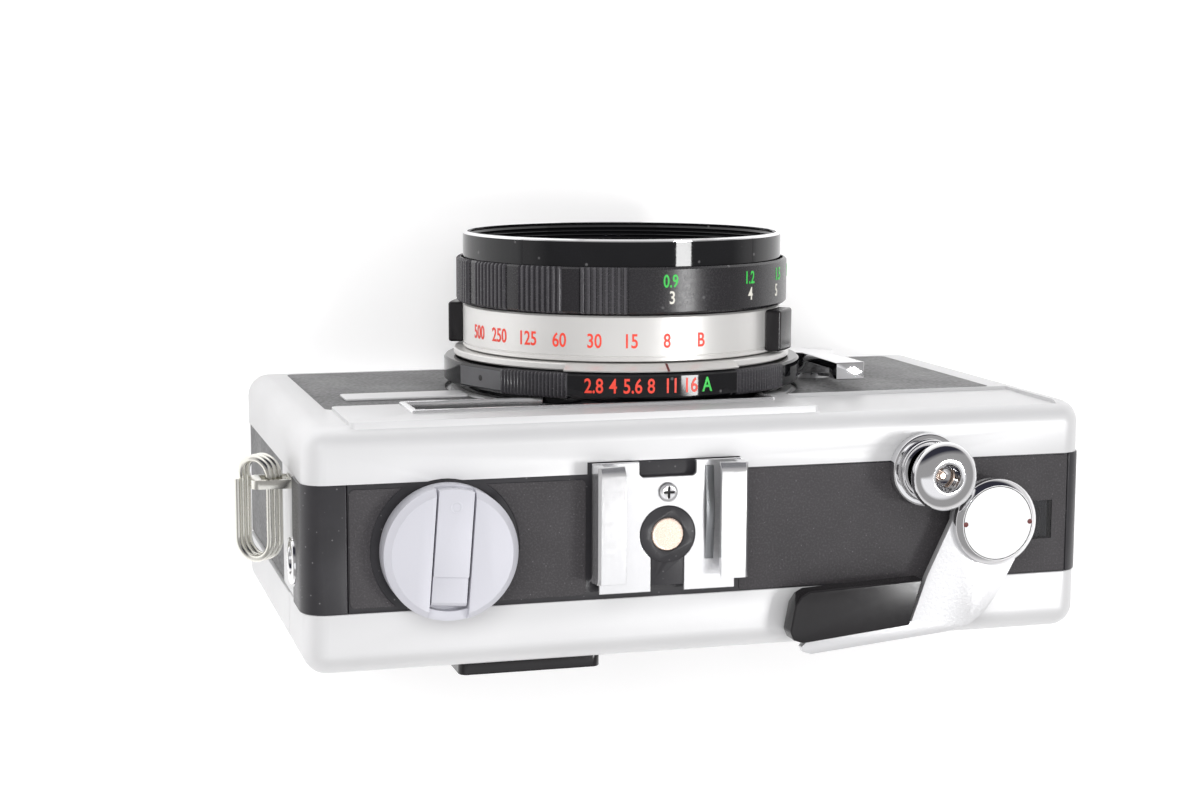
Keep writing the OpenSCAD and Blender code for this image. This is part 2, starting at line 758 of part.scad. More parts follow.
// Oblong split ring through the lug, hanging outwards and down from it
module split_ring() {
  wire = 1.05;
  turns_h = 3;
  color("silver") translate([ring_x, 0, lug_z]) rotate([0, ring_lean, 0])
    thick_z(-turns_h / 2, turns_h / 2) difference() {
      oblong(-wire / 2, 5.9, -10.6, 4.2, 0);
      oblong(-wire / 2, 5.9, -10.6, 4.2, wire);
    }
}

module oblong(xa, xb, ya, yb, inset) {
  r = (xb - xa) / 2 - inset;
  mid = (xa + xb) / 2;
  ends = [ya + (xb - xa) / 2, yb - (xb - xa) / 2];
  for (y = ends) translate([mid, y]) circle(r);
  translate([mid - r, ends[0]]) square([2 * r, ends[1] - ends[0]]);
}

// ---------- lens ----------

module lens_base() {
  color([0.06, 0.06, 0.06]) {
    lens_tube(tube_r, 17.3, -7.6, 14);
    lens_tube(flange_r, 17.3, 0, 1);
    lens_tube(17.4, 9.5, -7.6, -2);
  }
}

module index_ring() {
  color("silver") lens_tube(25, tube_r, 4.9, 5.9);
}

module rear_element() {
  color([0.7, 0.75, 0.9, 0.4]) lens_tube(9.4, 0, -6.6, -2.6);
}

// Diaphragm plate with its opening and the pins that the shutter blades turn on
module iris_plate() {
  color([0.05, 0.05, 0.05]) {
    difference() {
      lens_tube(17.2, 0, -1.9, -1.5);
      translate([lens_x, front_y + 4, lens_z]) rotate([90, 0, 0]) cylinder(r = 4, h = 4, $fn = 5);
    }
    for (s = [-1, 1]) rod_y(lens_x + s * blade_pivot, lens_z, 0.9, front_y - 1.7, front_y + 1.6);
  }
}

// Half of the between-lens shutter, pivoted at side s, lying between two heights
module shutter_blade(s, va, vb) {
  color([0.2, 0.2, 0.2]) translate([lens_x, 0, lens_z]) thick_y(front_y - vb, front_y - va)
    difference() {
      union() {
        intersection() {
          circle(blade_r);
          translate([s > 0 ? -1 : -blade_r, -blade_r]) square([blade_r + 1, 2 * blade_r]);
        }
        translate([s * blade_pivot, 0]) circle(1.8);
        translate([s > 0 ? 5.5 : -blade_pivot, -1.8]) square([blade_pivot - 5.5, 3.6]);
      }
      translate([s * blade_pivot, 0]) circle(0.95);
    }
}
module shutter_blade_left() shutter_blade(1, 0.2, 0.6);
module shutter_blade_right() shutter_blade(-1, 1, 1.4);

module aperture_ring() {
  color([0.05, 0.05, 0.05]) lens_tube(aperture_r, tube_r + 0.3, 1.2, 4.7);
}

module shutter_ring() {
  color("gainsboro") lens_tube(shutter_r, tube_r + 0.3, 6.1, 12.5);
}

module shutter_ring_grips() {
  color([0.06, 0.06, 0.06]) for (clock = [52, -113]) intersection() {
    lens_tube(shutter_r + 2.3, shutter_r, 6.3, 12.3);
    on_lens(clock) block([-2.9, -60, 15], [2.9, 0, 40]);
  }
}

module focus_ring() {
  color([0.05, 0.05, 0.05]) lens_turned() polygon([[tube_r + 0.3, 12.8], [focus_r - 0.3, 12.8],
    [focus_r, 13.1], [focus_r, 19], [focus_r - 0.3, 19.3], [24, 19.3], [24, 14.6],
    [tube_r + 0.3, 14.6]]);
}

module front_barrel() {
  color([0.05, 0.05, 0.05]) lens_turned() polygon([[10.3, 12], [12, 12], [12, 5], [16.9, 5],
    [16.9, 17], [shutter_r, 17], [shutter_r, 23.1], [filter_r, 23.1], [filter_r, 19.9],
    [20.5, 19.9], [19, 18.9], [10.3, 18.4]]);
}

module front_element() {
  color([0.7, 0.75, 0.9, 0.4]) lens_turned() polygon([[0, 13], [10.2, 13], [10.2, 17.6],
    [8, 18.3], [5, 18.8], [2.5, 19], [0, 19.1]]);
}

module self_timer_lever() {
  top_y = front_y - 3.9;
  color("silver") translate([timer_at[0], 0, timer_at[1]]) {
    rod_y(0, 0, 3.8, top_y, front_y - 0.7);
    rod_y(0, 0, 1.5, front_y - 1, front_y + 4);
    thick_y(top_y, top_y + 1.3) plate2(-2.2, -2, 2.2, 17, 0.4);
    block([-2.2, top_y, 14], [2.2, front_y - 1.3, 17]);
  }
}

// ---------- the assembly ----------

front_cover();
window_frame();
window_glass();
frame_light_window();
front_leatherettes();
info_plate();
body_frame();
cartridge_shell();
top_plate();
end_caps();
side_strips();
side_leatherettes();
rear_cover();
eyepiece_frame();
eyepiece_glass();
base_plate();
tripod_socket();
battery();
viewfinder_block();
accessory_shoe();
shoe_insulator();
shoe_contact();
shoe_spring();
shoe_screw();
button_collar();
counter_window();
sync_socket();
strap_lug();
lens_base();
index_ring();
rear_element();
iris_plate();
door_hinge_pin();
split_ring();
shutter_button();
wind_lever();
wind_grip();
wind_cap();
counter_dial();
takeup_spool();
sprocket_wheel();
rewind_sleeve();
rewind_shaft();
rewind_knob();
rewind_crank();
back_door();
back_leatherette();
pressure_plate();
pressure_spring();
aperture_ring();
shutter_ring();
shutter_ring_grips();
focus_ring();
front_barrel();
front_element();
self_timer_lever();
battery_cover();
rewind_release_button();
shutter_blade_left();
shutter_blade_right();
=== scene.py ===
"""Looks of the compact rangefinder camera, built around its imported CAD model.

Everything is in metres in the model's own frame: +Z is up through the top plate, the lens looks
along -Y, +X is towards the rewind knob. Sizes below are in millimetres and pass through MM.
"""

import json
import math

import bmesh
import bpy
from mathutils import Matrix, Vector


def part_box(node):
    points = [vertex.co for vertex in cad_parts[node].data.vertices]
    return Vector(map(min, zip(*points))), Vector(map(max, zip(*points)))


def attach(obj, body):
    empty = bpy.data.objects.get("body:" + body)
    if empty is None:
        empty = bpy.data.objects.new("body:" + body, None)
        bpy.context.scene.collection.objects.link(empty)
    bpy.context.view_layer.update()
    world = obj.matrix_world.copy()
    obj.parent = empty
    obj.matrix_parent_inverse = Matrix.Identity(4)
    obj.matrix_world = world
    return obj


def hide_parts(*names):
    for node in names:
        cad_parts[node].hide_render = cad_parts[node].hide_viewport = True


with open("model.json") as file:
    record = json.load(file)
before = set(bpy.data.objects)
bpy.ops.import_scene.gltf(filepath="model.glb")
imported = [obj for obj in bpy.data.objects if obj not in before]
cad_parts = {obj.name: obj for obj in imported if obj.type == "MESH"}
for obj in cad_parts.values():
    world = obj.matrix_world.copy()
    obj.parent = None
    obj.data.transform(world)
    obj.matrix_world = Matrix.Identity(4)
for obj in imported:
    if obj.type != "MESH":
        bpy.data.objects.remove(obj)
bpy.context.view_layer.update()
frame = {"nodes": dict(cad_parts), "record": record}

MM = 0.001
ROOT = "camera_body"
SIDE_NAME = {-1: "left", 1: "right"}


# ---------- places taken from the frame ----------

def span(node):
    """Lowest and highest corner of a CAD node, in millimetres."""
    low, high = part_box(node)
    return low / MM, high / MM


def centre(node):
    low, high = span(node)
    return (low + high) / 2


LENS = Vector((centre("index_ring").x, 0, centre("index_ring").z))
FRONT_Y = span("front_leatherettes")[0].y
TOP_Z = span("rear_cover")[1].z
BUTTON = centre("button_collar")
WIND = centre("wind_cap")


# ---------- materials ----------

DUST_PER_M = 900
LENS_DUST_PER_M = 420
DUST_COLOUR = (0.5, 0.49, 0.5)
SMOOTHER, ROUGHER = 0.8, 1.25
METAL_SHADE = 0.95
PAINT_SHADE = 0.86
PAINT_ROUGH = 0.4
GLASS_ROUGH = 0.03
GLASS_IOR = 1.5


def new_material(name):
    """An empty node material, and the record's slot that it belongs to."""
    material = bpy.data.materials.new(name)
    material.use_nodes = True
    tree = material.node_tree
    return material, tree, tree.nodes["Principled BSDF"]


def noise(tree, scale_per_m, detail=3.0, roughness=0.5, stretch=(1, 1, 1)):
    """Noise whose grain is 1 / scale_per_m metres, stretched along the axes."""
    mapping = tree.nodes.new("ShaderNodeMapping")
    mapping.inputs["Scale"].default_value = stretch
    place = tree.nodes.new("ShaderNodeTexCoord").outputs["Object"]
    tree.links.new(place, mapping.inputs["Vector"])
    texture = tree.nodes.new("ShaderNodeTexNoise")
    texture.inputs["Scale"].default_value = scale_per_m
    texture.inputs["Detail"].default_value = detail
    texture.inputs["Roughness"].default_value = roughness
    tree.links.new(mapping.outputs["Vector"], texture.inputs["Vector"])
    return texture.outputs["Fac"]


def cells(tree, scale_per_m, feature="F1"):
    """Distance to the nearest of randomly placed points, for pebbles and specks."""
    texture = tree.nodes.new("ShaderNodeTexVoronoi")
    texture.feature = feature
    texture.inputs["Scale"].default_value = scale_per_m
    place = tree.nodes.new("ShaderNodeTexCoord").outputs["Object"]
    tree.links.new(place, texture.inputs["Vector"])
    return texture.outputs["Distance"]


def ramp(tree, factor, low, high, from_min=0.3, from_max=0.7):
    """A colour between low and high, chosen by factor."""
    node = tree.nodes.new("ShaderNodeValToRGB")
    node.color_ramp.elements[0].position = from_min
    node.color_ramp.elements[0].color = (*low, 1)
    node.color_ramp.elements[1].position = from_max
    node.color_ramp.elements[1].color = (*high, 1)
    tree.links.new(factor, node.inputs["Fac"])
    return node.outputs["Color"]


def spread(tree, factor, low, high, from_min=0.3, from_max=0.7):
    """A number between low and high, chosen by factor."""
    node = tree.nodes.new("ShaderNodeMapRange")
    node.inputs["From Min"].default_value = from_min
    node.inputs["From Max"].default_value = from_max
    node.inputs["To Min"].default_value = low
    node.inputs["To Max"].default_value = high
    tree.links.new(factor, node.inputs["Value"])
    return node.outputs["Result"]


def mixed(tree, mask, base, colour):
    """base, with a plain colour laid over it where mask is 1."""
    mix = tree.nodes.new("ShaderNodeMix")
    mix.data_type = "RGBA"
    tree.links.new(mask, mix.inputs["Factor"])
    tree.links.new(base, mix.inputs[6])
    mix.inputs[7].default_value = (*colour, 1)
    return mix.outputs[2]


def both(tree, first, second):
    """Where both of two masks hold."""
    product = tree.nodes.new("ShaderNodeMath")
    product.operation = "MULTIPLY"
    tree.links.new(first, product.inputs[0])
    tree.links.new(second, product.inputs[1])
    return product.outputs["Value"]


def bump(tree, shader, height, depth_mm, strength=1.0, below=None):
    node = tree.nodes.new("ShaderNodeBump")
    node.inputs["Strength"].default_value = strength
    node.inputs["Distance"].default_value = depth_mm * MM
    tree.links.new(height, node.inputs["Height"])
    if below is not None:
        tree.links.new(below, node.inputs["Normal"])
    tree.links.new(node.outputs["Normal"], shader.inputs["Normal"])
    return node.outputs["Normal"]


def metal(name, colour, roughness, metallic=1.0, grain=900, grain_mm=0.004,
          stretch=(1, 1, 1), spread_of=0.06):
    """A metal finish with a fine grain and a little variation in gloss and tone."""
    material, tree, shader = new_material(name)
    fine = noise(tree, grain, 4.0, 0.6, stretch)
    broad = noise(tree, 60, 3.0)
    darker = tuple(c * METAL_SHADE for c in colour)
    tree.links.new(ramp(tree, broad, darker, colour), shader.inputs["Base Color"])
    half = spread_of / 2
    tree.links.new(spread(tree, fine, roughness - half, roughness + half),
                   shader.inputs["Roughness"])
    shader.inputs["Metallic"].default_value = metallic
    bump(tree, shader, fine, grain_mm)
    return material


def black(name, colour, roughness, grain=1500, grain_mm=0.01, dust=0.0, tint=1.3,
          dust_per_m=DUST_PER_M, gloss=0.5):
    """Painted or moulded black: fine grain, slight mottling and, if wanted, pale specks of dust."""
    material, tree, shader = new_material(name)
    fine = noise(tree, grain, 3.0, 0.65)
    broad = noise(tree, 180, 4.0, 0.6)
    lighter = tuple(min(1.0, c * tint) for c in colour)
    base = ramp(tree, broad, colour, lighter, 0.35, 0.75)
    if dust:
        mask = spread(tree, cells(tree, dust_per_m), dust, 0.0, 0.06, 0.12)
        base = mixed(tree, mask, base, DUST_COLOUR)
    tree.links.new(base, shader.inputs["Base Color"])
    tree.links.new(spread(tree, fine, roughness * SMOOTHER, roughness * ROUGHER),
                   shader.inputs["Roughness"])
    shader.inputs["Specular IOR Level"].default_value = gloss
    bump(tree, shader, fine, grain_mm)
    return material


def grained_band():
    """Baked wrinkle finish of the top: a fine raised grain whose crests are painted lighter, a
    painted highlight for the light they catch.
    """
    material, tree, shader = new_material("grained_band")
    grain = noise(tree, 3600, 3.0, 0.6)
    broad = noise(tree, 90, 4.0, 0.6)
    crests = spread(tree, grain, 0.0, 1.0, 0.45, 0.7)
    base = ramp(tree, broad, (0.042, 0.039, 0.042), (0.055, 0.051, 0.055))
    # painted highlight: the grain's crests are lightened in the base colour
    base = mixed(tree, spread(tree, grain, 0.0, 0.45, 0.5, 0.75), base, (0.13, 0.124, 0.13))
    dust = spread(tree, cells(tree, DUST_PER_M), 0.3, 0.0, 0.04, 0.08)
    tree.links.new(mixed(tree, dust, base, (0.45, 0.44, 0.46)), shader.inputs["Base Color"])
    tree.links.new(spread(tree, grain, 0.62, 0.45), shader.inputs["Roughness"])
    bump(tree, shader, crests, 0.035)
    return material


def leatherette():
    """Pebbled black vinyl: rounded cells a little under half a millimetre over a finer grain."""
    material, tree, shader = new_material("leatherette")
    pebble = cells(tree, 2300, "SMOOTH_F1")
    fine = noise(tree, 9000, 2.0)
    broad = noise(tree, 120, 3.0)
    # painted highlight and painted shade: pebble tops are lighter and the gaps between them darker
    tree.links.new(ramp(tree, pebble, (0.17, 0.17, 0.172), (0.060, 0.060, 0.062), 0.15, 0.7),
                   shader.inputs["Base Color"])
    tree.links.new(spread(tree, broad, 0.42, 0.54), shader.inputs["Roughness"])
    domes = bump(tree, shader, spread(tree, pebble, 1.0, 0.0, 0.0, 0.8), 0.09)
    bump(tree, shader, fine, 0.012, 0.5, below=domes)
    return material


def clear_glass(name, colour):
    """Clear or tinted glass, a little smeared."""
    material, tree, shader = new_material(name)
    smear = noise(tree, 40, 3.0)
    tree.links.new(spread(tree, smear, GLASS_ROUGH, 2 * GLASS_ROUGH), shader.inputs["Roughness"])
    shader.inputs["Base Color"].default_value = (*colour, 1)
    shader.inputs["Transmission Weight"].default_value = 1.0
    shader.inputs["IOR"].default_value = GLASS_IOR
    return material


def paint(name, colour):
    """Filled engraving paint, slightly uneven."""
    material, tree, shader = new_material(name)
    uneven = noise(tree, 1500, 2.0)
    darker = tuple(c * PAINT_SHADE for c in colour)
    tree.links.new(ramp(tree, uneven, darker, colour), shader.inputs["Base Color"])
    shader.inputs["Roughness"].default_value = PAINT_ROUGH
    return material


SILVER = metal("satin_silver", (0.73, 0.73, 0.735), 0.42, 0.3, 4200, 0.006)
LEVER_SILVER = metal("lever_silver", (0.74, 0.74, 0.75), 0.34, 0.6, 2600, 0.02)
RING_SILVER = metal("ring_silver", (0.80, 0.79, 0.77), 0.34, 0.5, 2600, 0.004,
                    stretch=(1, 14, 1))
KNOB_SILVER = metal("knob_silver", (0.64, 0.64, 0.69), 0.5, 0.3, 3600, 0.008)
CHROME = metal("polished_chrome", (0.86, 0.86, 0.87), 0.07, 1.0, 900, 0.0006,
               spread_of=0.03)
SHOE_CHROME = metal("shoe_chrome", (0.88, 0.88, 0.89), 0.22, 0.85, 1400, 0.001)
STEEL = metal("bright_steel", (0.84, 0.83, 0.77), 0.2, 1.0, 2400, 0.003)
SPRING_STEEL = metal("spring_steel", (0.34, 0.35, 0.36), 0.30, 1.0, 2400, 0.003)
COPPER = metal("copper_contact", (0.93, 0.74, 0.62), 0.26, 0.8, 3800, 0.003)
BAND = grained_band()
BAND_SMOOTH = black("smooth_band", (0.026, 0.025, 0.028), 0.36, 5200, 0.006,
                    dust=0.25)
GLOSS_BLACK = black("gloss_black", (0.014, 0.013, 0.014), 0.2, 2400, 0.0015,
                    gloss=0.4)
LENS_BLACK = black("lens_black", (0.006, 0.006, 0.007), 0.05, 2800, 0.0006,
                   dust=0.2, dust_per_m=LENS_DUST_PER_M, gloss=0.36)
RING_BLACK = black("ring_black", (0.014, 0.013, 0.015), 0.26, 3600, 0.002,
                   dust=0.2, dust_per_m=LENS_DUST_PER_M)
# painted sheen: the knurls are a lighter black than the rest of their ring, standing in for the
# light their crests reflect
KNURL_SHEEN_BLACK = black("knurl_black_painted_sheen", (0.05, 0.048, 0.053), 0.24, 3600, 0.003)
PAD_BLACK = black("pad_black", (0.085, 0.085, 0.09), 0.35, 3600, 0.003)
INNER_BLACK = black("inner_black", (0.012, 0.012, 0.012), 0.5, 2800, 0.01)
LEATHERETTE = leatherette()
GLASS = clear_glass("window_glass", (0.94, 0.95, 0.96))
SMOKED = clear_glass("smoked_window", (0.30, 0.30, 0.33))
LENS_GLASS = clear_glass("coated_glass", (0.80, 0.80, 0.95))
FROSTED = black("frosted_window", (0.62, 0.55, 0.56), 0.35, 1800, 0.01,
                tint=1.1)
RED = paint("red_fill", (0.90, 0.07, 0.04))
DARK_RED = paint("dark_red_fill", (0.13, 0.012, 0.012))
GREEN = paint("green_fill", (0.04, 0.62, 0.08))
WHITE = paint("white_fill", (0.80, 0.78, 0.70))

NODE_FINISH = {
    "window_glass": GLASS, "frame_light_window": FROSTED, "battery": STEEL,
    "eyepiece_glass": GLASS, "counter_window": SMOKED, "rear_element": LENS_GLASS,
    "door_hinge_pin": STEEL, "counter_dial": GLOSS_BLACK, "takeup_spool": GLOSS_BLACK,
    "sprocket_wheel": GLOSS_BLACK, "rewind_sleeve": STEEL, "rewind_shaft": STEEL,
    "pressure_spring": SPRING_STEEL, "lens_base": LENS_BLACK,
    "shutter_blade_left": SPRING_STEEL, "shutter_blade_right": SPRING_STEEL,
    "rewind_release_button": STEEL,
}
for node, carried in frame["nodes"].items():
    carried.data.materials.clear()
    carried.data.materials.append(NODE_FINISH.get(node, INNER_BLACK))


# ---------- building tools ----------

BODY_OF = {node: body for body, nodes in frame["record"]["behaviour"]["bodies"].items()
           for node in nodes}
WELD = 0.002
FLAT_ENOUGH = 0.4
BEVEL_ABOVE = 30


def piece(name, bm, finishes, body, *nodes, bevel=0.0, segments=2, smooth=40):
    """Turns mesh code into a piece that rides on a body and stands for the CAD nodes given."""
    finishes = finishes if isinstance(finishes, (list, tuple)) else [finishes]
    bmesh.ops.recalc_face_normals(bm, faces=bm.faces)
    mesh = bpy.data.meshes.new(name)
    bm.to_mesh(mesh)
    bm.free()
    for finish in finishes:
        mesh.materials.append(finish)
    mesh.shade_smooth()
    if not bevel:
        mesh.set_sharp_from_angle(angle=math.radians(smooth))
    made = bpy.data.objects.new(name, mesh)
    bpy.context.scene.collection.objects.link(made)
    if bevel:
        edge = made.modifiers.new("edge", "BEVEL")
        edge.width = bevel * MM
        edge.segments = segments
        edge.limit_method = "ANGLE"
        edge.angle_limit = math.radians(BEVEL_ABOVE)
        edge.harden_normals = True
    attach(made, body)
    if nodes:
        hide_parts(*nodes)
    return made


def refined(node, finishes, bevel=0.15, segments=2, choose=None):
    """A cleaned copy of a CAD node with rounded edges; choose picks each face's finish."""
    bm = bmesh.new()
    bm.from_mesh(frame["nodes"][node].data)
    bmesh.ops.remove_doubles(bm, verts=bm.verts, dist=WELD * MM)
    bmesh.ops.dissolve_limit(bm, angle_limit=math.radians(FLAT_ENOUGH), verts=bm.verts,
                             edges=bm.edges)
    for face in bm.faces:
        spot = face.calc_center_median() / MM
        face.material_index = choose(spot, face.normal) if choose else 0
    return piece(f"{node}_surface", bm, finishes, BODY_OF[node], node, bevel=bevel,
                 segments=segments)


def on_lens(radius, clock, height):
    """A point round the lens: clock angle from the top towards -X, height above the front."""
    a = math.radians(clock)
    return Vector((LENS.x - radius * math.sin(a), FRONT_Y - height,
                   LENS.z + radius * math.cos(a))) * MM


def upright(x, y):
    """A placing function for pieces turned about a vertical axis."""
    def place(radius, angle, height):
        a = math.radians(angle)
        return Vector((x + radius * math.cos(a), y + radius * math.sin(a), height)) * MM
    return place


def turned(name, outline, finishes, body, *nodes, place=on_lens, steps=192, wave=None,
           span_of=None, smooth=35, finish_of=None):
    """A closed outline of (radius, height, finish number) turned about an axis.

    wave(angle, radius) gives the radius where it changes round the piece, finish_of(angle) the
    finish where that changes, and span_of keeps the piece to an arc between two angles.
    """
    bm = bmesh.new()
    first, last = span_of or (0, 360)
    count = steps if span_of is None else steps + 1
    angles = [first + (last - first) * k / steps for k in range(count)]
    rings = []
    for radius, height, *_ in outline:
        if radius == 0:
            rings.append([bm.verts.new(place(0, 0, height))] * count)
        else:
            rings.append([bm.verts.new(place(wave(a, radius) if wave else radius, a, height))
                          for a in angles])
    for i, ring in enumerate(rings):
        after = rings[(i + 1) % len(rings)]
        for k in range(steps):
            m = (k + 1) % count
            corners = list(dict.fromkeys([ring[k], ring[m], after[m], after[k]]))
            if len(corners) > 2:
                own = outline[i][2] if len(outline[i]) > 2 else 0
                number = finish_of(angles[k]) if finish_of else own
                bm.faces.new(corners).material_index = number
    if span_of:
        for k in (0, -1):
            bm.faces.new([ring[k] for ring in rings])
    return piece(name, bm, finishes, body, *nodes, smooth=smooth)


def prism(bm, outline, low, high):
    """A flat outline in X and Y given height in Z."""
    lower, upper = ([bm.verts.new(Vector((x, y, z)) * MM) for x, y in outline]
                    for z in (low, high))
    bm.faces.new(lower)
    bm.faces.new(upper)
    for k in range(len(outline)):
        m = (k + 1) % len(outline)
        bm.faces.new([lower[k], lower[m], upper[m], upper[k]])


def arc(cx, cy, radius, start, end, count):
    """Points of an arc, angles in degrees."""
    angles = [math.radians(start + (end - start) * k / count) for k in range(count + 1)]
    return [(cx + radius * math.cos(a), cy + radius * math.sin(a)) for a in angles]


def swept(name, outline, stations, finishes, body, *nodes, bevel=0.0):
    """An outline in X and Z carried along Y; each station is (y, shape), shape moves a point."""
    bm = bmesh.new()
    rows = [[bm.verts.new(Vector((shape(x, z)[0], y, shape(x, z)[1])) * MM) for x, z in outline]
            for y, shape in stations]
    for row, after in zip(rows, rows[1:]):
        for k in range(len(outline)):
            m = (k + 1) % len(outline)
            bm.faces.new([row[k], row[m], after[m], after[k]])
    bm.faces.new(rows[0])
    bm.faces.new(rows[-1])
    return piece(name, bm, finishes, body, *nodes, bevel=bevel, segments=2)


DIGIT_SHARE = 0.7
DIGIT_WEIGHT = 0.02
DIGIT_RAISED = 0.05


def lettering(name, text, tall, finish, body, place, narrow=0.78):
    """Dial numbers, raised a little above the surface that place(x, y, z) wraps them onto."""
    curve = bpy.data.curves.new(name, "FONT")
    curve.body = text
    curve.align_x, curve.align_y = "CENTER", "CENTER"
    curve.size = tall / DIGIT_SHARE
    curve.offset = DIGIT_WEIGHT * tall
    curve.extrude = DIGIT_RAISED
    curve.resolution_u = 4
    flat = bpy.data.objects.new(name, curve)
    bpy.context.scene.collection.objects.link(flat)
    bpy.context.view_layer.update()
    mesh = bpy.data.meshes.new_from_object(flat)
    bpy.data.objects.remove(flat)
    bm = bmesh.new()
    bm.from_mesh(mesh)
    bmesh.ops.remove_doubles(bm, verts=bm.verts, dist=1e-5)
    for vert in bm.verts:
        vert.co = place(vert.co.x * narrow, vert.co.y, vert.co.z)
    return piece(name, bm, finish, body, smooth=30)


def round_lens(clock, height, radius):
    """Wraps lettering round the lens, centred on a clock angle and a height above the front."""
    return lambda x, y, z: on_lens(radius + z, clock + math.degrees(x / radius), height + y)


RIDGE_SHARE = 0.45
SLOPE_SHARE = 0.3


def groove(angle, pitch):
    """0 on a ridge and 1 in the groove beside it."""
    beside = abs(angle / pitch % 1 - 0.5) * 2
    return min(1.0, max(0.0, (beside - RIDGE_SHARE) / SLOPE_SHARE))


def within(angle, arcs):
    """Whether a clock angle lies in one of the arcs (start, end)."""
    return any((angle - start) % 360 <= end - start for start, end in arcs)


# ---------- covers ----------

refined("front_cover", SILVER, 0.28, 3)
refined("rear_cover", SILVER, 0.28, 3)
refined("back_door", SILVER, 0.25, 3)
refined("base_plate", SILVER, 0.2)
refined("side_strips", SILVER, 0.15)
refined("window_frame", SHOE_CHROME, 0.12)
refined("info_plate", SILVER, 0.1)
for covering in ("front_leatherettes", "side_leatherettes", "back_leatherette"):
    refined(covering, LEATHERETTE, 0.12)
band_top = span("top_plate")[1].z
refined("top_plate", [BAND, BAND_SMOOTH], 0.12, 2,
        lambda spot, normal: 0 if spot.z > band_top - 0.05 else 1)
refined("end_caps", BAND_SMOOTH, 0.2, 3)
refined("eyepiece_frame", GLOSS_BLACK, 0.25, 3)
refined("tripod_socket", STEEL, 0.12)
refined("battery_cover", STEEL, 0.15)
refined("sync_socket", CHROME, 0.2, 3)
refined("strap_lug", STEEL, 0.2, 3)
refined("self_timer_lever", CHROME, 0.25, 3)

# ---------- split ring ----------

RING_PASS = Vector((57.65, 0, 48.1))
RING_LEAN = math.radians(45)
RING_WIRE = 0.48
RING_PITCH = 1.02
RING_SPAN = 5.37
RING_TURNS = 3
RING_CUT = 0.74
RING_CROSSOVER = 0.12
RING_TURN_STEPS = 72


def split_ring():
    """A wire wound three times round an oblong, hanging out and down from the strap lug.

    Each turn lies flat and climbs onto the next one just past the place where the wire is cut.
    """
    low, high = span("split_ring")
    across = Vector((math.cos(RING_LEAN), 0, -math.sin(RING_LEAN)))
    stacked = Vector((math.sin(RING_LEAN), 0, math.cos(RING_LEAN)))
    bend = RING_SPAN / 2
    front = low.y + RING_WIRE + bend
    run = high.y - RING_WIRE - bend - front
    half_turn = math.pi * bend
    length = 2 * (half_turn + run)
    curve = bpy.data.curves.new("split_ring_wire", "CURVE")
    curve.dimensions = "3D"
    curve.bevel_depth = RING_WIRE * MM
    curve.bevel_resolution = 4
    curve.use_fill_caps = True
    spline = curve.splines.new("POLY")
    steps = RING_TURN_STEPS * RING_TURNS
    first = int(RING_CROSSOVER * RING_TURN_STEPS)
    spline.points.add(steps - first)
    for k in range(first, steps + 1):
        wound = k / RING_TURN_STEPS
        turn, part = divmod(wound, 1) if k < steps else (RING_TURNS - 1, 1.0)
        level = 0.0 if turn < 1 else turn - 1 + min(1.0, part / RING_CROSSOVER)
        s = (wound + RING_CUT) % 1 * length
        if s < run:
            u, y = 0.0, front + s
        elif s < run + half_turn:
            a = (s - run) / bend
            u, y = bend - bend * math.cos(a), front + run + bend * math.sin(a)
        elif s < 2 * run + half_turn:
            u, y = RING_SPAN, front + run - (s - run - half_turn)
        else:
            a = (s - 2 * run - half_turn) / bend
            u, y = bend + bend * math.cos(a), front - bend * math.sin(a)
        spot = RING_PASS + across * u + stacked * RING_PITCH * (level - 1) + Vector((0, y, 0))
        spline.points[k - first].co = (*(spot * MM), 1)
    wire = bpy.data.objects.new("split_ring_wire", curve)
    curve.materials.append(STEEL)
    bpy.context.scene.collection.objects.link(wire)
    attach(wire, BODY_OF["split_ring"])
    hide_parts("split_ring")


split_ring()

# ---------- accessory shoe ----------

LIP_BEND = 1.2
FLARE_TOP = 1.0


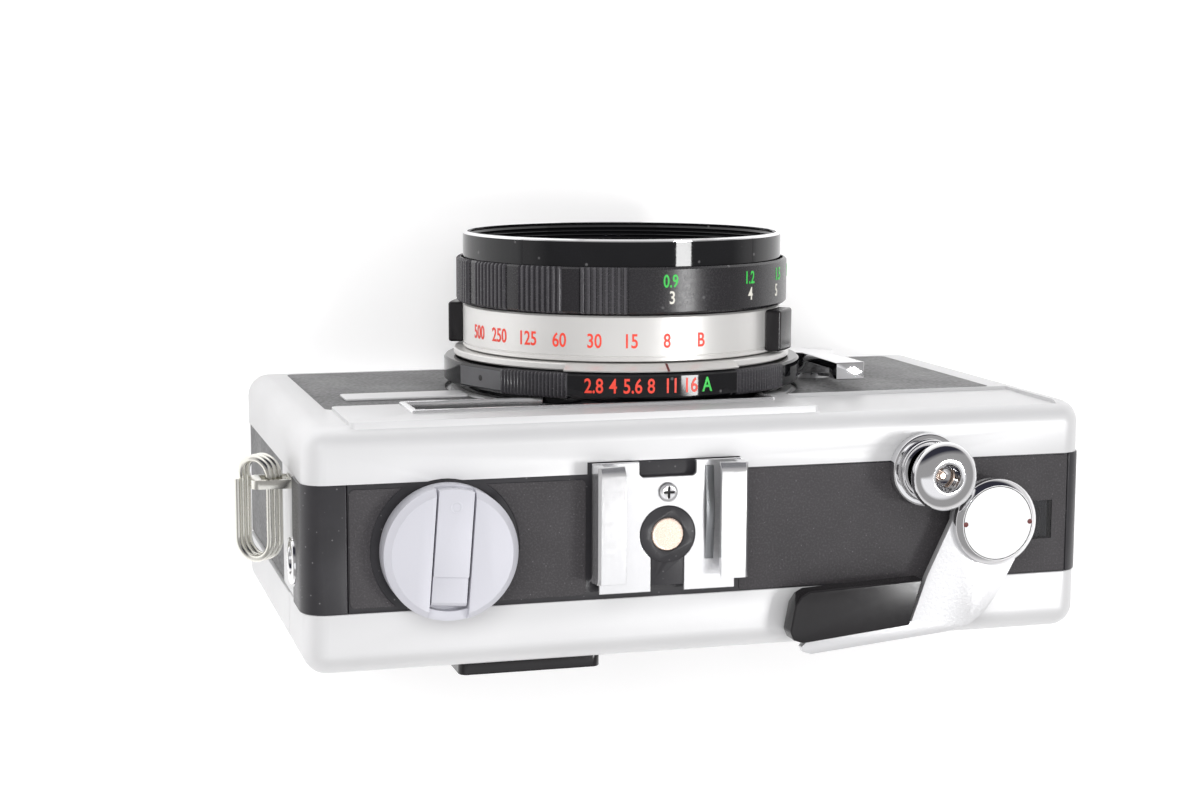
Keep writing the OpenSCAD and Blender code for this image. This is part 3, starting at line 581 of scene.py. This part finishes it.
def shoe():
    """Bent sheet whose lips turn down at the front and whose sides flare at the rear."""
    low, high = span("accessory_shoe")
    x = (low.x + high.x) / 2
    floor_top = low.z + 0.6
    half, wall, reach = (high.x - low.x) / 2, 1.15, 3.85
    notch, notch_deep, notch_chamfer = 4, 2.1, 0.4
    slot_half, hole, hole_y = 2.35, 3.9, -0.2
    step_in, step_y = 0.9, high.y - 1.6
    start = math.degrees(math.asin(slot_half / hole))
    rear = high.y
    bm = bmesh.new()
    keyhole = [(x + px, hole_y + py) for px, py in arc(0, 0, hole, 90 - start, -270 + start, 40)]
    prism(bm, [(x - half, low.y), (x - notch, low.y),
               (x - notch, low.y + notch_deep - notch_chamfer),
               (x - notch + notch_chamfer, low.y + notch_deep),
               (x + notch - notch_chamfer, low.y + notch_deep),
               (x + notch, low.y + notch_deep - notch_chamfer), (x + notch, low.y),
               (x + half, low.y), (x + half, step_y), (x + half - step_in, step_y),
               (x + half - step_in, rear), (x + slot_half, rear), *keyhole,
               (x - slot_half, rear), (x - half + step_in, rear), (x - half + step_in, step_y),
               (x - half, step_y)],
          low.z, floor_top)
    piece("shoe_base", bm, SHOE_CHROME, ROOT, "accessory_shoe", bevel=0.1)
    y0, y1 = low.y, rear - 1.9
    for side in (-1, 1):
        outline = [(x + side * half, floor_top - 0.3), (x + side * half, high.z - 0.35),
                   (x + side * (half - 0.35), high.z), (x + side * (half - reach), high.z),
                   (x + side * (half - reach), high.z - 0.8),
                   (x + side * (half - wall - 0.1), high.z - 0.9),
                   (x + side * (half - wall), high.z - 1.1),
                   (x + side * (half - wall), floor_top - 0.3)]

        def curled(amount, side=side):
            """Lowers the lip, most at its inner edge."""
            def shape(px, pz):
                inward = (x + side * half - px) * side / reach
                over = max(0.0, (pz - high.z + LIP_BEND) / LIP_BEND)
                return px, pz - amount * over * min(1.0, inward * 2)
            return shape

        def flared(amount, side=side):
            """Spreads the side outwards, and less towards its top."""
            def shape(px, pz):
                return px + side * amount * (1 - max(0.0, (pz - high.z + FLARE_TOP))), pz
            return shape

        stations = [(y0 + 0.1, curled(1.0)), (y0 + 0.45, curled(0.55)), (y0 + 0.9, curled(0.2)),
                    (y0 + 1.4, curled(0.0)), (y1 - 0.9, flared(0.0)), (y1 - 0.4, flared(0.12)),
                    (y1, flared(0.4))]
        swept(f"shoe_rail_{SIDE_NAME[side]}", outline, stations, SHOE_CHROME, ROOT, bevel=0.12)


def shoe_spring():
    """Leaf spring lying in one side of the shoe, bowed in the middle."""
    low, high = span("shoe_spring")
    thick, bow, count = 0.25, 0.55, 14
    outline = [(low.x, low.z), (high.x, low.z), (high.x, low.z + thick), (low.x, low.z + thick)]
    stations = [(low.y + (high.y - low.y) * k / count,
                 lambda px, pz, k=k: (px, pz + bow * math.sin(math.pi * k / count) ** 2))
                for k in range(count + 1)]
    swept("shoe_spring_leaf", outline, stations, SPRING_STEEL, ROOT, "shoe_spring")


shoe()
shoe_spring()
refined("shoe_insulator", BAND_SMOOTH, 0.12)
screw_top = span("shoe_screw")[1].z


def in_cross(spot, normal):
    """1 on the walls and the floor of the screw's cross, which are painted black as painted shade,
    0 elsewhere.
    """
    wall = screw_top - 0.35 < spot.z < screw_top - 0.05 and abs(normal.z) < 0.2
    return 1 if wall or abs(spot.z - screw_top + 0.3) < 0.02 else 0


# painted shade: the walls and floor of the screw's cross get the inner black
refined("shoe_screw", [SHOE_CHROME, INNER_BLACK], 0.04, 2, in_cross)
contact_low, contact_high = span("shoe_contact")
contact_r = (contact_high.x - contact_low.x) / 2
turning_marks = [(contact_r - 0.2 - 0.25 * k, contact_high.z - (0.025 if k % 2 else 0.0))
                 for k in range(8)]
turned("shoe_contact_disc",
       [(0, contact_low.z), (contact_r, contact_low.z), (contact_r, contact_high.z - 0.15),
        (contact_r - 0.15, contact_high.z), *turning_marks, (0, contact_high.z)],
       COPPER, ROOT, "shoe_contact", place=upright(*centre("shoe_contact").xy), steps=64)

# ---------- shutter button, wind lever and rewind knob ----------

BUTTON_BASE = span("shutter_button")[0].z
BUTTON_TOP = span("shutter_button")[1].z
STEM_Z = 61.3
DOME_TALL = 1.6
thread = [(1.75 - (0.14 if k % 2 else 0.0), BUTTON_TOP - 0.4 - 0.24 * k) for k in range(12)]
turned("shutter_button_head",
       [(0, BUTTON_BASE), (1.6, BUTTON_BASE), (1.6, STEM_Z), (3.2, STEM_Z),
        (3.2, BUTTON_TOP - 3.6), (3.5, BUTTON_TOP - 3.3)]
       + [(2.1 + 2.7 * math.cos(a), BUTTON_TOP - DOME_TALL + DOME_TALL * math.sin(a))
          for a in map(math.radians, range(-50, 91, 7))]
       + [(1.95, BUTTON_TOP - 0.04), (1.85, BUTTON_TOP - 0.2)]
       + thread + [(0, BUTTON_TOP - 3.4)],
       CHROME, "shutter_button", "shutter_button", place=upright(BUTTON.x, BUTTON.y), steps=96,
       smooth=50)
turned("button_pin", [(0, BUTTON_TOP - 3.5), (0.6, BUTTON_TOP - 3.5), (0.6, BUTTON_TOP - 2.2),
                      (0.4, BUTTON_TOP - 2.0), (0, BUTTON_TOP - 2.0)],
       COPPER, "shutter_button", place=upright(BUTTON.x, BUTTON.y), steps=32)
collar_low, collar_high = span("button_collar")
turned("button_collar_turned",
       [(3.5, collar_low.z), (3.8, collar_low.z), (3.8, TOP_Z), (5.1, TOP_Z), (5.15, TOP_Z + 0.1)]
       + arc(4.8, TOP_Z + 1.3, 0.35, 0, 90, 5) + [(4.45, TOP_Z + 1.7), (4.4, TOP_Z + 1.75)]
       + arc(4.1, collar_high.z - 0.3, 0.3, 0, 90, 5)
       + [(3.6, collar_high.z), (3.5, collar_high.z - 0.1)],
       CHROME, ROOT, "button_collar", place=upright(BUTTON.x, BUTTON.y), steps=96)

cap_low, cap_high = span("wind_cap")
cap_r = (cap_high.x - cap_low.x) / 2
rim_z = cap_high.z - 0.6
line_z = cap_high.z - 0.08
CAP_PIN = 4.85
turned("wind_cap_turned",
       [(0, cap_low.z, 1), (2.1, cap_low.z, 1), (2.1, rim_z - 1, 1), (cap_r - 0.15, rim_z - 1, 1),
        (cap_r, rim_z - 0.85, 1), (cap_r, rim_z, 1), (cap_r - 0.1, rim_z + 0.15, 1),
        (cap_r - 0.8, cap_high.z, 0), (cap_r - 0.9, cap_high.z, 2), (cap_r - 0.92, line_z, 2),
        (cap_r - 1.0, line_z, 2), (cap_r - 1.02, cap_high.z, 0), (0, cap_high.z, 0)],
       [SILVER, CHROME, INNER_BLACK], "wind_lever", "wind_cap",
       place=upright(WIND.x, WIND.y), steps=96, smooth=25)
for side in (-1, 1):
    turned(f"wind_cap_pin_{SIDE_NAME[side]}",
           [(0, rim_z), (0.36, rim_z), (0.36, cap_high.z + 0.01), (0.28, cap_high.z + 0.03),
            (0, cap_high.z + 0.03)],
           DARK_RED, "wind_lever", place=upright(WIND.x + side * CAP_PIN, WIND.y), steps=24)
refined("wind_lever", LEVER_SILVER, 0.22, 3)
refined("wind_grip", GLOSS_BLACK, 0.45, 4)
refined("rewind_knob", KNOB_SILVER, 0.18, 3)
refined("rewind_crank", KNOB_SILVER, 0.2, 3)
CRANK_RIVET = (36.6, -5.9)
crank_top = span("rewind_crank")[1].z
turned("crank_rivet", [(0, crank_top - 0.4), (0.85, crank_top - 0.4), (0.85, crank_top + 0.02),
                       (0.7, crank_top + 0.06), (0.52, crank_top), (0.26, crank_top - 0.2),
                       (0, crank_top - 0.26)],
       KNOB_SILVER, "rewind_crank", place=upright(*CRANK_RIVET), steps=32)

# ---------- lens ----------

RING_STEPS = 1440
LENS_BORE = 20.7


def ring_span(node):
    """Outer radius of a ring on the lens, and its two heights above the body's front."""
    low, high = span(node)
    return (high.x - low.x) / 2, FRONT_Y - high.y, FRONT_Y - low.y


FLAT = (-77, -56)
APERTURE_KNURL = 1.25


def aperture_ring():
    radius, low, high = ring_span("aperture_ring")
    half_flat = math.cos(math.radians((FLAT[1] - FLAT[0]) / 2))
    labels = [(-33, 22)]
    knurls = [(-56, -33), (22, 45), (124, 147), (213, 236)]
    middle = sum(FLAT) / 2

    def wave(clock, r):
        if r < radius - 0.6:
            return r
        if within(clock, [FLAT]):
            return (r - 0.1) * half_flat / math.cos(math.radians(clock - middle))
        if within(clock, labels):
            return r - 0.3
        if within(clock, knurls):
            return r - 0.4 * groove(clock, APERTURE_KNURL)
        return r - 0.1

    turned("aperture_ring_body",
           [(LENS_BORE, low), (radius - 0.3, low), (radius, low + 0.3), (radius, high - 0.3),
            (radius - 0.3, high), (LENS_BORE, high)],
           [LENS_BLACK, KNURL_SHEEN_BLACK], "aperture_ring", "aperture_ring", steps=RING_STEPS,
           wave=wave, smooth=28, finish_of=lambda clock: 1 if within(clock, knurls) else 0)
    face = radius - 0.3
    marks = [("2.8", -24.5, RED), ("4", -18.6, RED), ("5.6", -12.7, RED), ("8", -7.1, RED),
             ("11", -0.8, RED), ("16", 5.3, RED), ("A", 10.9, GREEN)]
    for text, clock, finish in marks:
        name = "aperture_mark_" + text.replace(".", "_")
        lettering(name, text, 2.0, finish, "aperture_ring",
                  round_lens(clock, (low + high) / 2, face))
    flat_r = (radius - 0.1) * half_flat
    turned("aperture_ring_pad",
           [(radius - 0.7, low + 0.45), (radius, low + 0.45), (radius, high - 0.35),
            (radius - 0.7, high - 0.35)],
           PAD_BLACK, "aperture_ring", span_of=FLAT, steps=21,
           wave=lambda clock, r: (r - 0.09) * half_flat / math.cos(math.radians(clock - middle)))
    # painted shade: a black disc a little proud of the flat stands for the dark inside of the hole
    turned("aperture_ring_hole_painted_shade", [(0, -0.4), (0.42, -0.4), (0.42, 0.03), (0, 0.03)],
           INNER_BLACK, "aperture_ring", steps=32,
           place=lambda r, a, depth: on_lens(
               flat_r + depth, middle + math.degrees(r * math.cos(math.radians(a)) / flat_r),
               (low + high) / 2 + r * math.sin(math.radians(a))))


def index_ring():
    radius, low, high = ring_span("index_ring")
    inner = radius - 0.6
    turned("index_ring_body",
           [(20.5, low), (radius - 0.2, low), (radius, low + 0.2), (radius, high - 0.15),
            (radius - 0.15, high), (20.5, high)],
           RING_SILVER, ROOT, "index_ring", steps=256)
    turned("index_lip",
           [(inner, low + 0.02), (radius + 1.1, low + 0.02), (radius + 1.25, low + 0.2),
            (radius - 0.1, high + 0.02), (inner, high + 0.02)],
           RING_SILVER, ROOT, span_of=(-34, 23), steps=64)
    turned("index_line",
           [(radius - 0.5, low + 0.1), (radius + 1.27, low + 0.1), (radius + 1.27, low + 0.24),
            (radius - 0.06, high + 0.06), (radius - 0.5, high + 0.06)],
           DARK_RED, ROOT, span_of=(-2.0, -1.3), steps=2)


SHUTTER_MARKS = 8.9


def shutter_speed_ring():
    radius, low, high = ring_span("shutter_ring")
    turned("shutter_ring_body",
           [(LENS_BORE, low), (radius - 0.1, low), (radius, low + 0.1), (radius, low + 0.55),
            (radius - 0.12, low + 0.62), (radius - 0.12, low + 0.75), (radius, low + 0.82),
            (radius, high - 0.25), (radius - 0.25, high), (LENS_BORE, high)],
           RING_SILVER, "shutter_ring", "shutter_ring", steps=256)
    marks = [("500", -76.5), ("250", -63.7), ("125", -50.3), ("60", -37.8), ("30", -25.4),
             ("15", -13), ("8", -0.5), ("B", 12)]
    for text, clock in marks:
        lettering("shutter_mark_" + text, text, 1.95, RED, "shutter_ring",
                  round_lens(clock, SHUTTER_MARKS, radius))
    refined("shutter_ring_grips", GLOSS_BLACK, 0.4, 3)


FOCUS_GROUP = 16.0
FOCUS_GAP = 6.5
FOCUS_GROUPS = 9
KNURL_START = -14.0
FOCUS_KNURL = 2.0
METRE_MARKS = 17.3
FEET_MARKS = 15.0
FAR_MARK = (127, 16.1)


def focus_ring():
    radius, low, high = ring_span("focus_ring")
    step = FOCUS_GROUP + FOCUS_GAP
    groups = [(KNURL_START - k * step - FOCUS_GROUP, KNURL_START - k * step)
              for k in range(FOCUS_GROUPS)]
    gaps = [(start - FOCUS_GAP, start) for start, _ in groups[:-1]]

    def wave(clock, r):
        if r < radius - 0.35:
            return r
        if within(clock, groups):
            return r - 0.55 * groove(clock - KNURL_START, FOCUS_KNURL)
        return r - (0.4 if within(clock, gaps) else 0.08)

    turned("focus_ring_body",
           [(LENS_BORE, low), (radius - 0.3, low), (radius, low + 0.3), (radius, high - 0.3),
            (radius - 0.3, high), (23.95, high), (23.95, low + 1.8), (LENS_BORE, low + 1.8)],
           [RING_BLACK, KNURL_SHEEN_BLACK], "focus_ring", "focus_ring", steps=RING_STEPS, wave=wave,
           smooth=28, finish_of=lambda clock: 1 if within(clock, groups) else 0)
    face = radius - 0.08
    metres = [("0.9", 0), ("1.2", 31.5), ("1.5", 51), ("2", 70), ("3", 89)]
    feet = [("3", 0.5), ("4", 32), ("5", 49.5), ("7", 74), ("10", 91), ("20", 109)]
    for text, clock in metres:
        lettering("metre_mark_" + text.replace(".", "_"), text, 1.75, GREEN, "focus_ring",
                  round_lens(clock, METRE_MARKS, face), narrow=0.72)
    for text, clock in feet:
        lettering("feet_mark_" + text, text, 1.75, WHITE, "focus_ring",
                  round_lens(clock, FEET_MARKS, face))
    infinity("infinity_mark", *FAR_MARK, face)


def infinity(name, clock, height, radius):
    """The mark for far away: a lying eight, drawn as one band."""
    count, size, thick = 48, 1.25, 0.16
    bm = bmesh.new()
    rows = []
    for k in range(count):
        t = 2 * math.pi * k / count
        x, y = size * math.sin(t), size * 0.5 * math.sin(2 * t)
        dx, dy = size * math.cos(t), size * math.cos(2 * t)
        length = math.hypot(dx, dy)
        nx, ny = -dy / length * thick, dx / length * thick
        over = 0.01 * math.cos(t)
        corners = ((-1, -0.05), (1, -0.05), (1, 0.05 + over), (-1, 0.05 + over))
        rows.append([bm.verts.new(on_lens(
            radius + lift, clock + math.degrees((x + s * nx) / radius), height + y + s * ny))
            for s, lift in corners])
    for k, row in enumerate(rows):
        after = rows[(k + 1) % count]
        for i in range(4):
            j = (i + 1) % 4
            bm.faces.new([row[i], row[j], after[j], after[i]])
    piece(name, bm, WHITE, "focus_ring")


def front_barrel():
    radius, low, high = ring_span("shutter_ring")[0], 17.0, ring_span("front_barrel")[2]
    bore, seat, neck, mouth, back = 22.9, 19.9, 16.9, 10.3, 5
    thread = [(bore - (0.28 if k % 2 else 0.0), high - 0.55 - 0.3 * k) for k in range(8)]
    baffle = [(19.0 - 1.45 * k - 0.25 * half, 18.9 - 0.08 * k - 0.28 * half)
              for k in range(6) for half in (0, 1)]
    turned("front_barrel_body",
           [(neck, low), (radius - 0.15, low), (radius, low + 0.15), (radius, high - 0.35),
            (radius - 0.05, high - 0.35), (bore, high - 0.35), *thread, (bore, seat), (20.5, seat),
            *baffle, (mouth, 18.35), (mouth, 12), (12, 12), (12, back), (neck, back)],
           LENS_BLACK, "front_barrel", "front_barrel", steps=256, smooth=30)
    turned("filter_rim",
           [(bore, high - 0.37), (radius - 0.03, high - 0.37), (radius - 0.03, high - 0.2),
            (radius - 0.22, high), (bore + 0.12, high), (bore, high - 0.12)],
           CHROME, "front_barrel", steps=256)
    dome, glass_r, crown = 35.4, 10.2, 19.1
    turned("front_element_dome",
           [(0, 13), (glass_r, 13)]
           + [(r, crown - dome + math.sqrt(dome ** 2 - r ** 2))
              for r in (glass_r * k / 12 for k in range(12, -1, -1))],
           LENS_GLASS, "front_barrel", "front_element", steps=96, smooth=60)


aperture_ring()
index_ring()
shutter_speed_ring()
focus_ring()
front_barrel()

# ---------- camera, light and floor ----------

VIEW_AZIMUTH = 63.25
VIEW_ELEVATION = 72.49
VIEW_ROLL = 0.14
VIEW_DISTANCE = 290.5
VIEW_TARGET = Vector((15.98, -18.57, TOP_Z))
VIEW_LENS = 65.39
FLOOR_SIZE = 6000
FLOOR_GLOW = 0.22


def aim_camera():
    """The camera stands over the top plate, so that the lens points up in the picture."""
    a, e, roll = (math.radians(v) for v in (VIEW_AZIMUTH, VIEW_ELEVATION, VIEW_ROLL))
    back = Vector((math.sin(a) * math.cos(e), -math.cos(a) * math.cos(e), math.sin(e)))
    right = Vector((0, -1, 0)).cross(back).normalized()
    up = back.cross(right)
    rolled_right = right * math.cos(roll) + up * math.sin(roll)
    rolled_up = up * math.cos(roll) - right * math.sin(roll)
    turn = Matrix((rolled_right, rolled_up, back)).transposed().to_4x4()
    data = bpy.data.cameras.new("view_camera")
    data.sensor_width = 36
    data.lens = VIEW_LENS
    data.clip_start, data.clip_end = 0.01, 10
    camera = bpy.data.objects.new("view_camera", data)
    camera.matrix_world = Matrix.Translation((VIEW_TARGET + back * VIEW_DISTANCE) * MM) @ turn
    bpy.context.scene.collection.objects.link(camera)
    bpy.context.scene.camera = camera


def soft_light(name, place_mm, size_mm, watts, aim_mm=(0, 0, 40), in_mirrors=True):
    data = bpy.data.lights.new(name, "AREA")
    data.shape = "RECTANGLE"
    data.size, data.size_y = size_mm[0] * MM, size_mm[1] * MM
    data.energy = watts
    light = bpy.data.objects.new(name, data)
    light.location = Vector(place_mm) * MM
    light.rotation_mode = "QUATERNION"
    light.rotation_quaternion = (Vector(place_mm) - Vector(aim_mm)).to_track_quat("Z", "Y")
    light.visible_glossy = in_mirrors
    bpy.context.scene.collection.objects.link(light)


def studio():
    """A pale dome, brighter overhead and at the horizon and dark high in front, with soft lights.

    The narrow strip draws the long highlight on the lens. The two fills only light surfaces and
    are kept out of mirrors, as a tent of diffusers would be.
    """
    world = bpy.data.worlds.new("studio")
    bpy.context.scene.world = world
    world.use_nodes = True
    tree = world.node_tree
    split = tree.nodes.new("ShaderNodeSeparateXYZ")
    towards = tree.nodes.new("ShaderNodeTexCoord").outputs["Generated"]
    tree.links.new(towards, split.inputs["Vector"])
    dome = tree.nodes.new("ShaderNodeValToRGB")
    levels = [(0.0, 0.9), (0.12, 0.85), (0.35, 0.36), (0.95, 0.36)]
    while len(dome.color_ramp.elements) < len(levels):
        dome.color_ramp.elements.new(0.5)
    for element, (height, level) in zip(dome.color_ramp.elements, levels):
        element.position = height
        element.color = (level, level * 0.985, level * 0.99, 1)
    tree.links.new(split.outputs["Z"], dome.inputs["Fac"])
    dark = both(tree, spread(tree, split.outputs["Y"], 1.0, 0.0, -0.6, -0.35),
                spread(tree, split.outputs["Z"], 0.0, 1.0, 0.18, 0.32))
    overhead = both(tree, spread(tree, split.outputs["Y"], 0.0, 1.0, 0.11, 0.18),
                    spread(tree, split.outputs["Z"], 0.0, 1.0, 0.76, 0.86))
    sky = mixed(tree, overhead, dome.outputs["Color"], (0.98, 0.98, 1.0))
    tree.links.new(mixed(tree, dark, sky, (0.035, 0.035, 0.05)),
                   tree.nodes["Background"].inputs["Color"])
    soft_light("lens_strip", (-305, 32, 622), (75, 130), 0.85, aim_mm=(0, 0, 50))
    soft_light("overhead_fill", (60, -60, 900), (1900, 1900), 6.0, in_mirrors=False)
    soft_light("front_key", (300, -430, 800), (600, 600), 4.6, in_mirrors=False)

    bpy.ops.mesh.primitive_plane_add(size=FLOOR_SIZE * MM)
    floor = bpy.context.object
    floor.name = "floor"
    material, tree, shader = new_material("floor_white")
    tree.links.new(ramp(tree, noise(tree, 30, 2.0), (0.90, 0.90, 0.90), (0.93, 0.93, 0.93)),
                   shader.inputs["Base Color"])
    shader.inputs["Roughness"].default_value = 0.6
    shader.inputs["Emission Color"].default_value = (1, 0.99, 0.985, 1)
    shader.inputs["Emission Strength"].default_value = FLOOR_GLOW
    floor.data.materials.append(material)


aim_camera()
studio()
bpy.context.scene.view_settings.view_transform = "Standard"
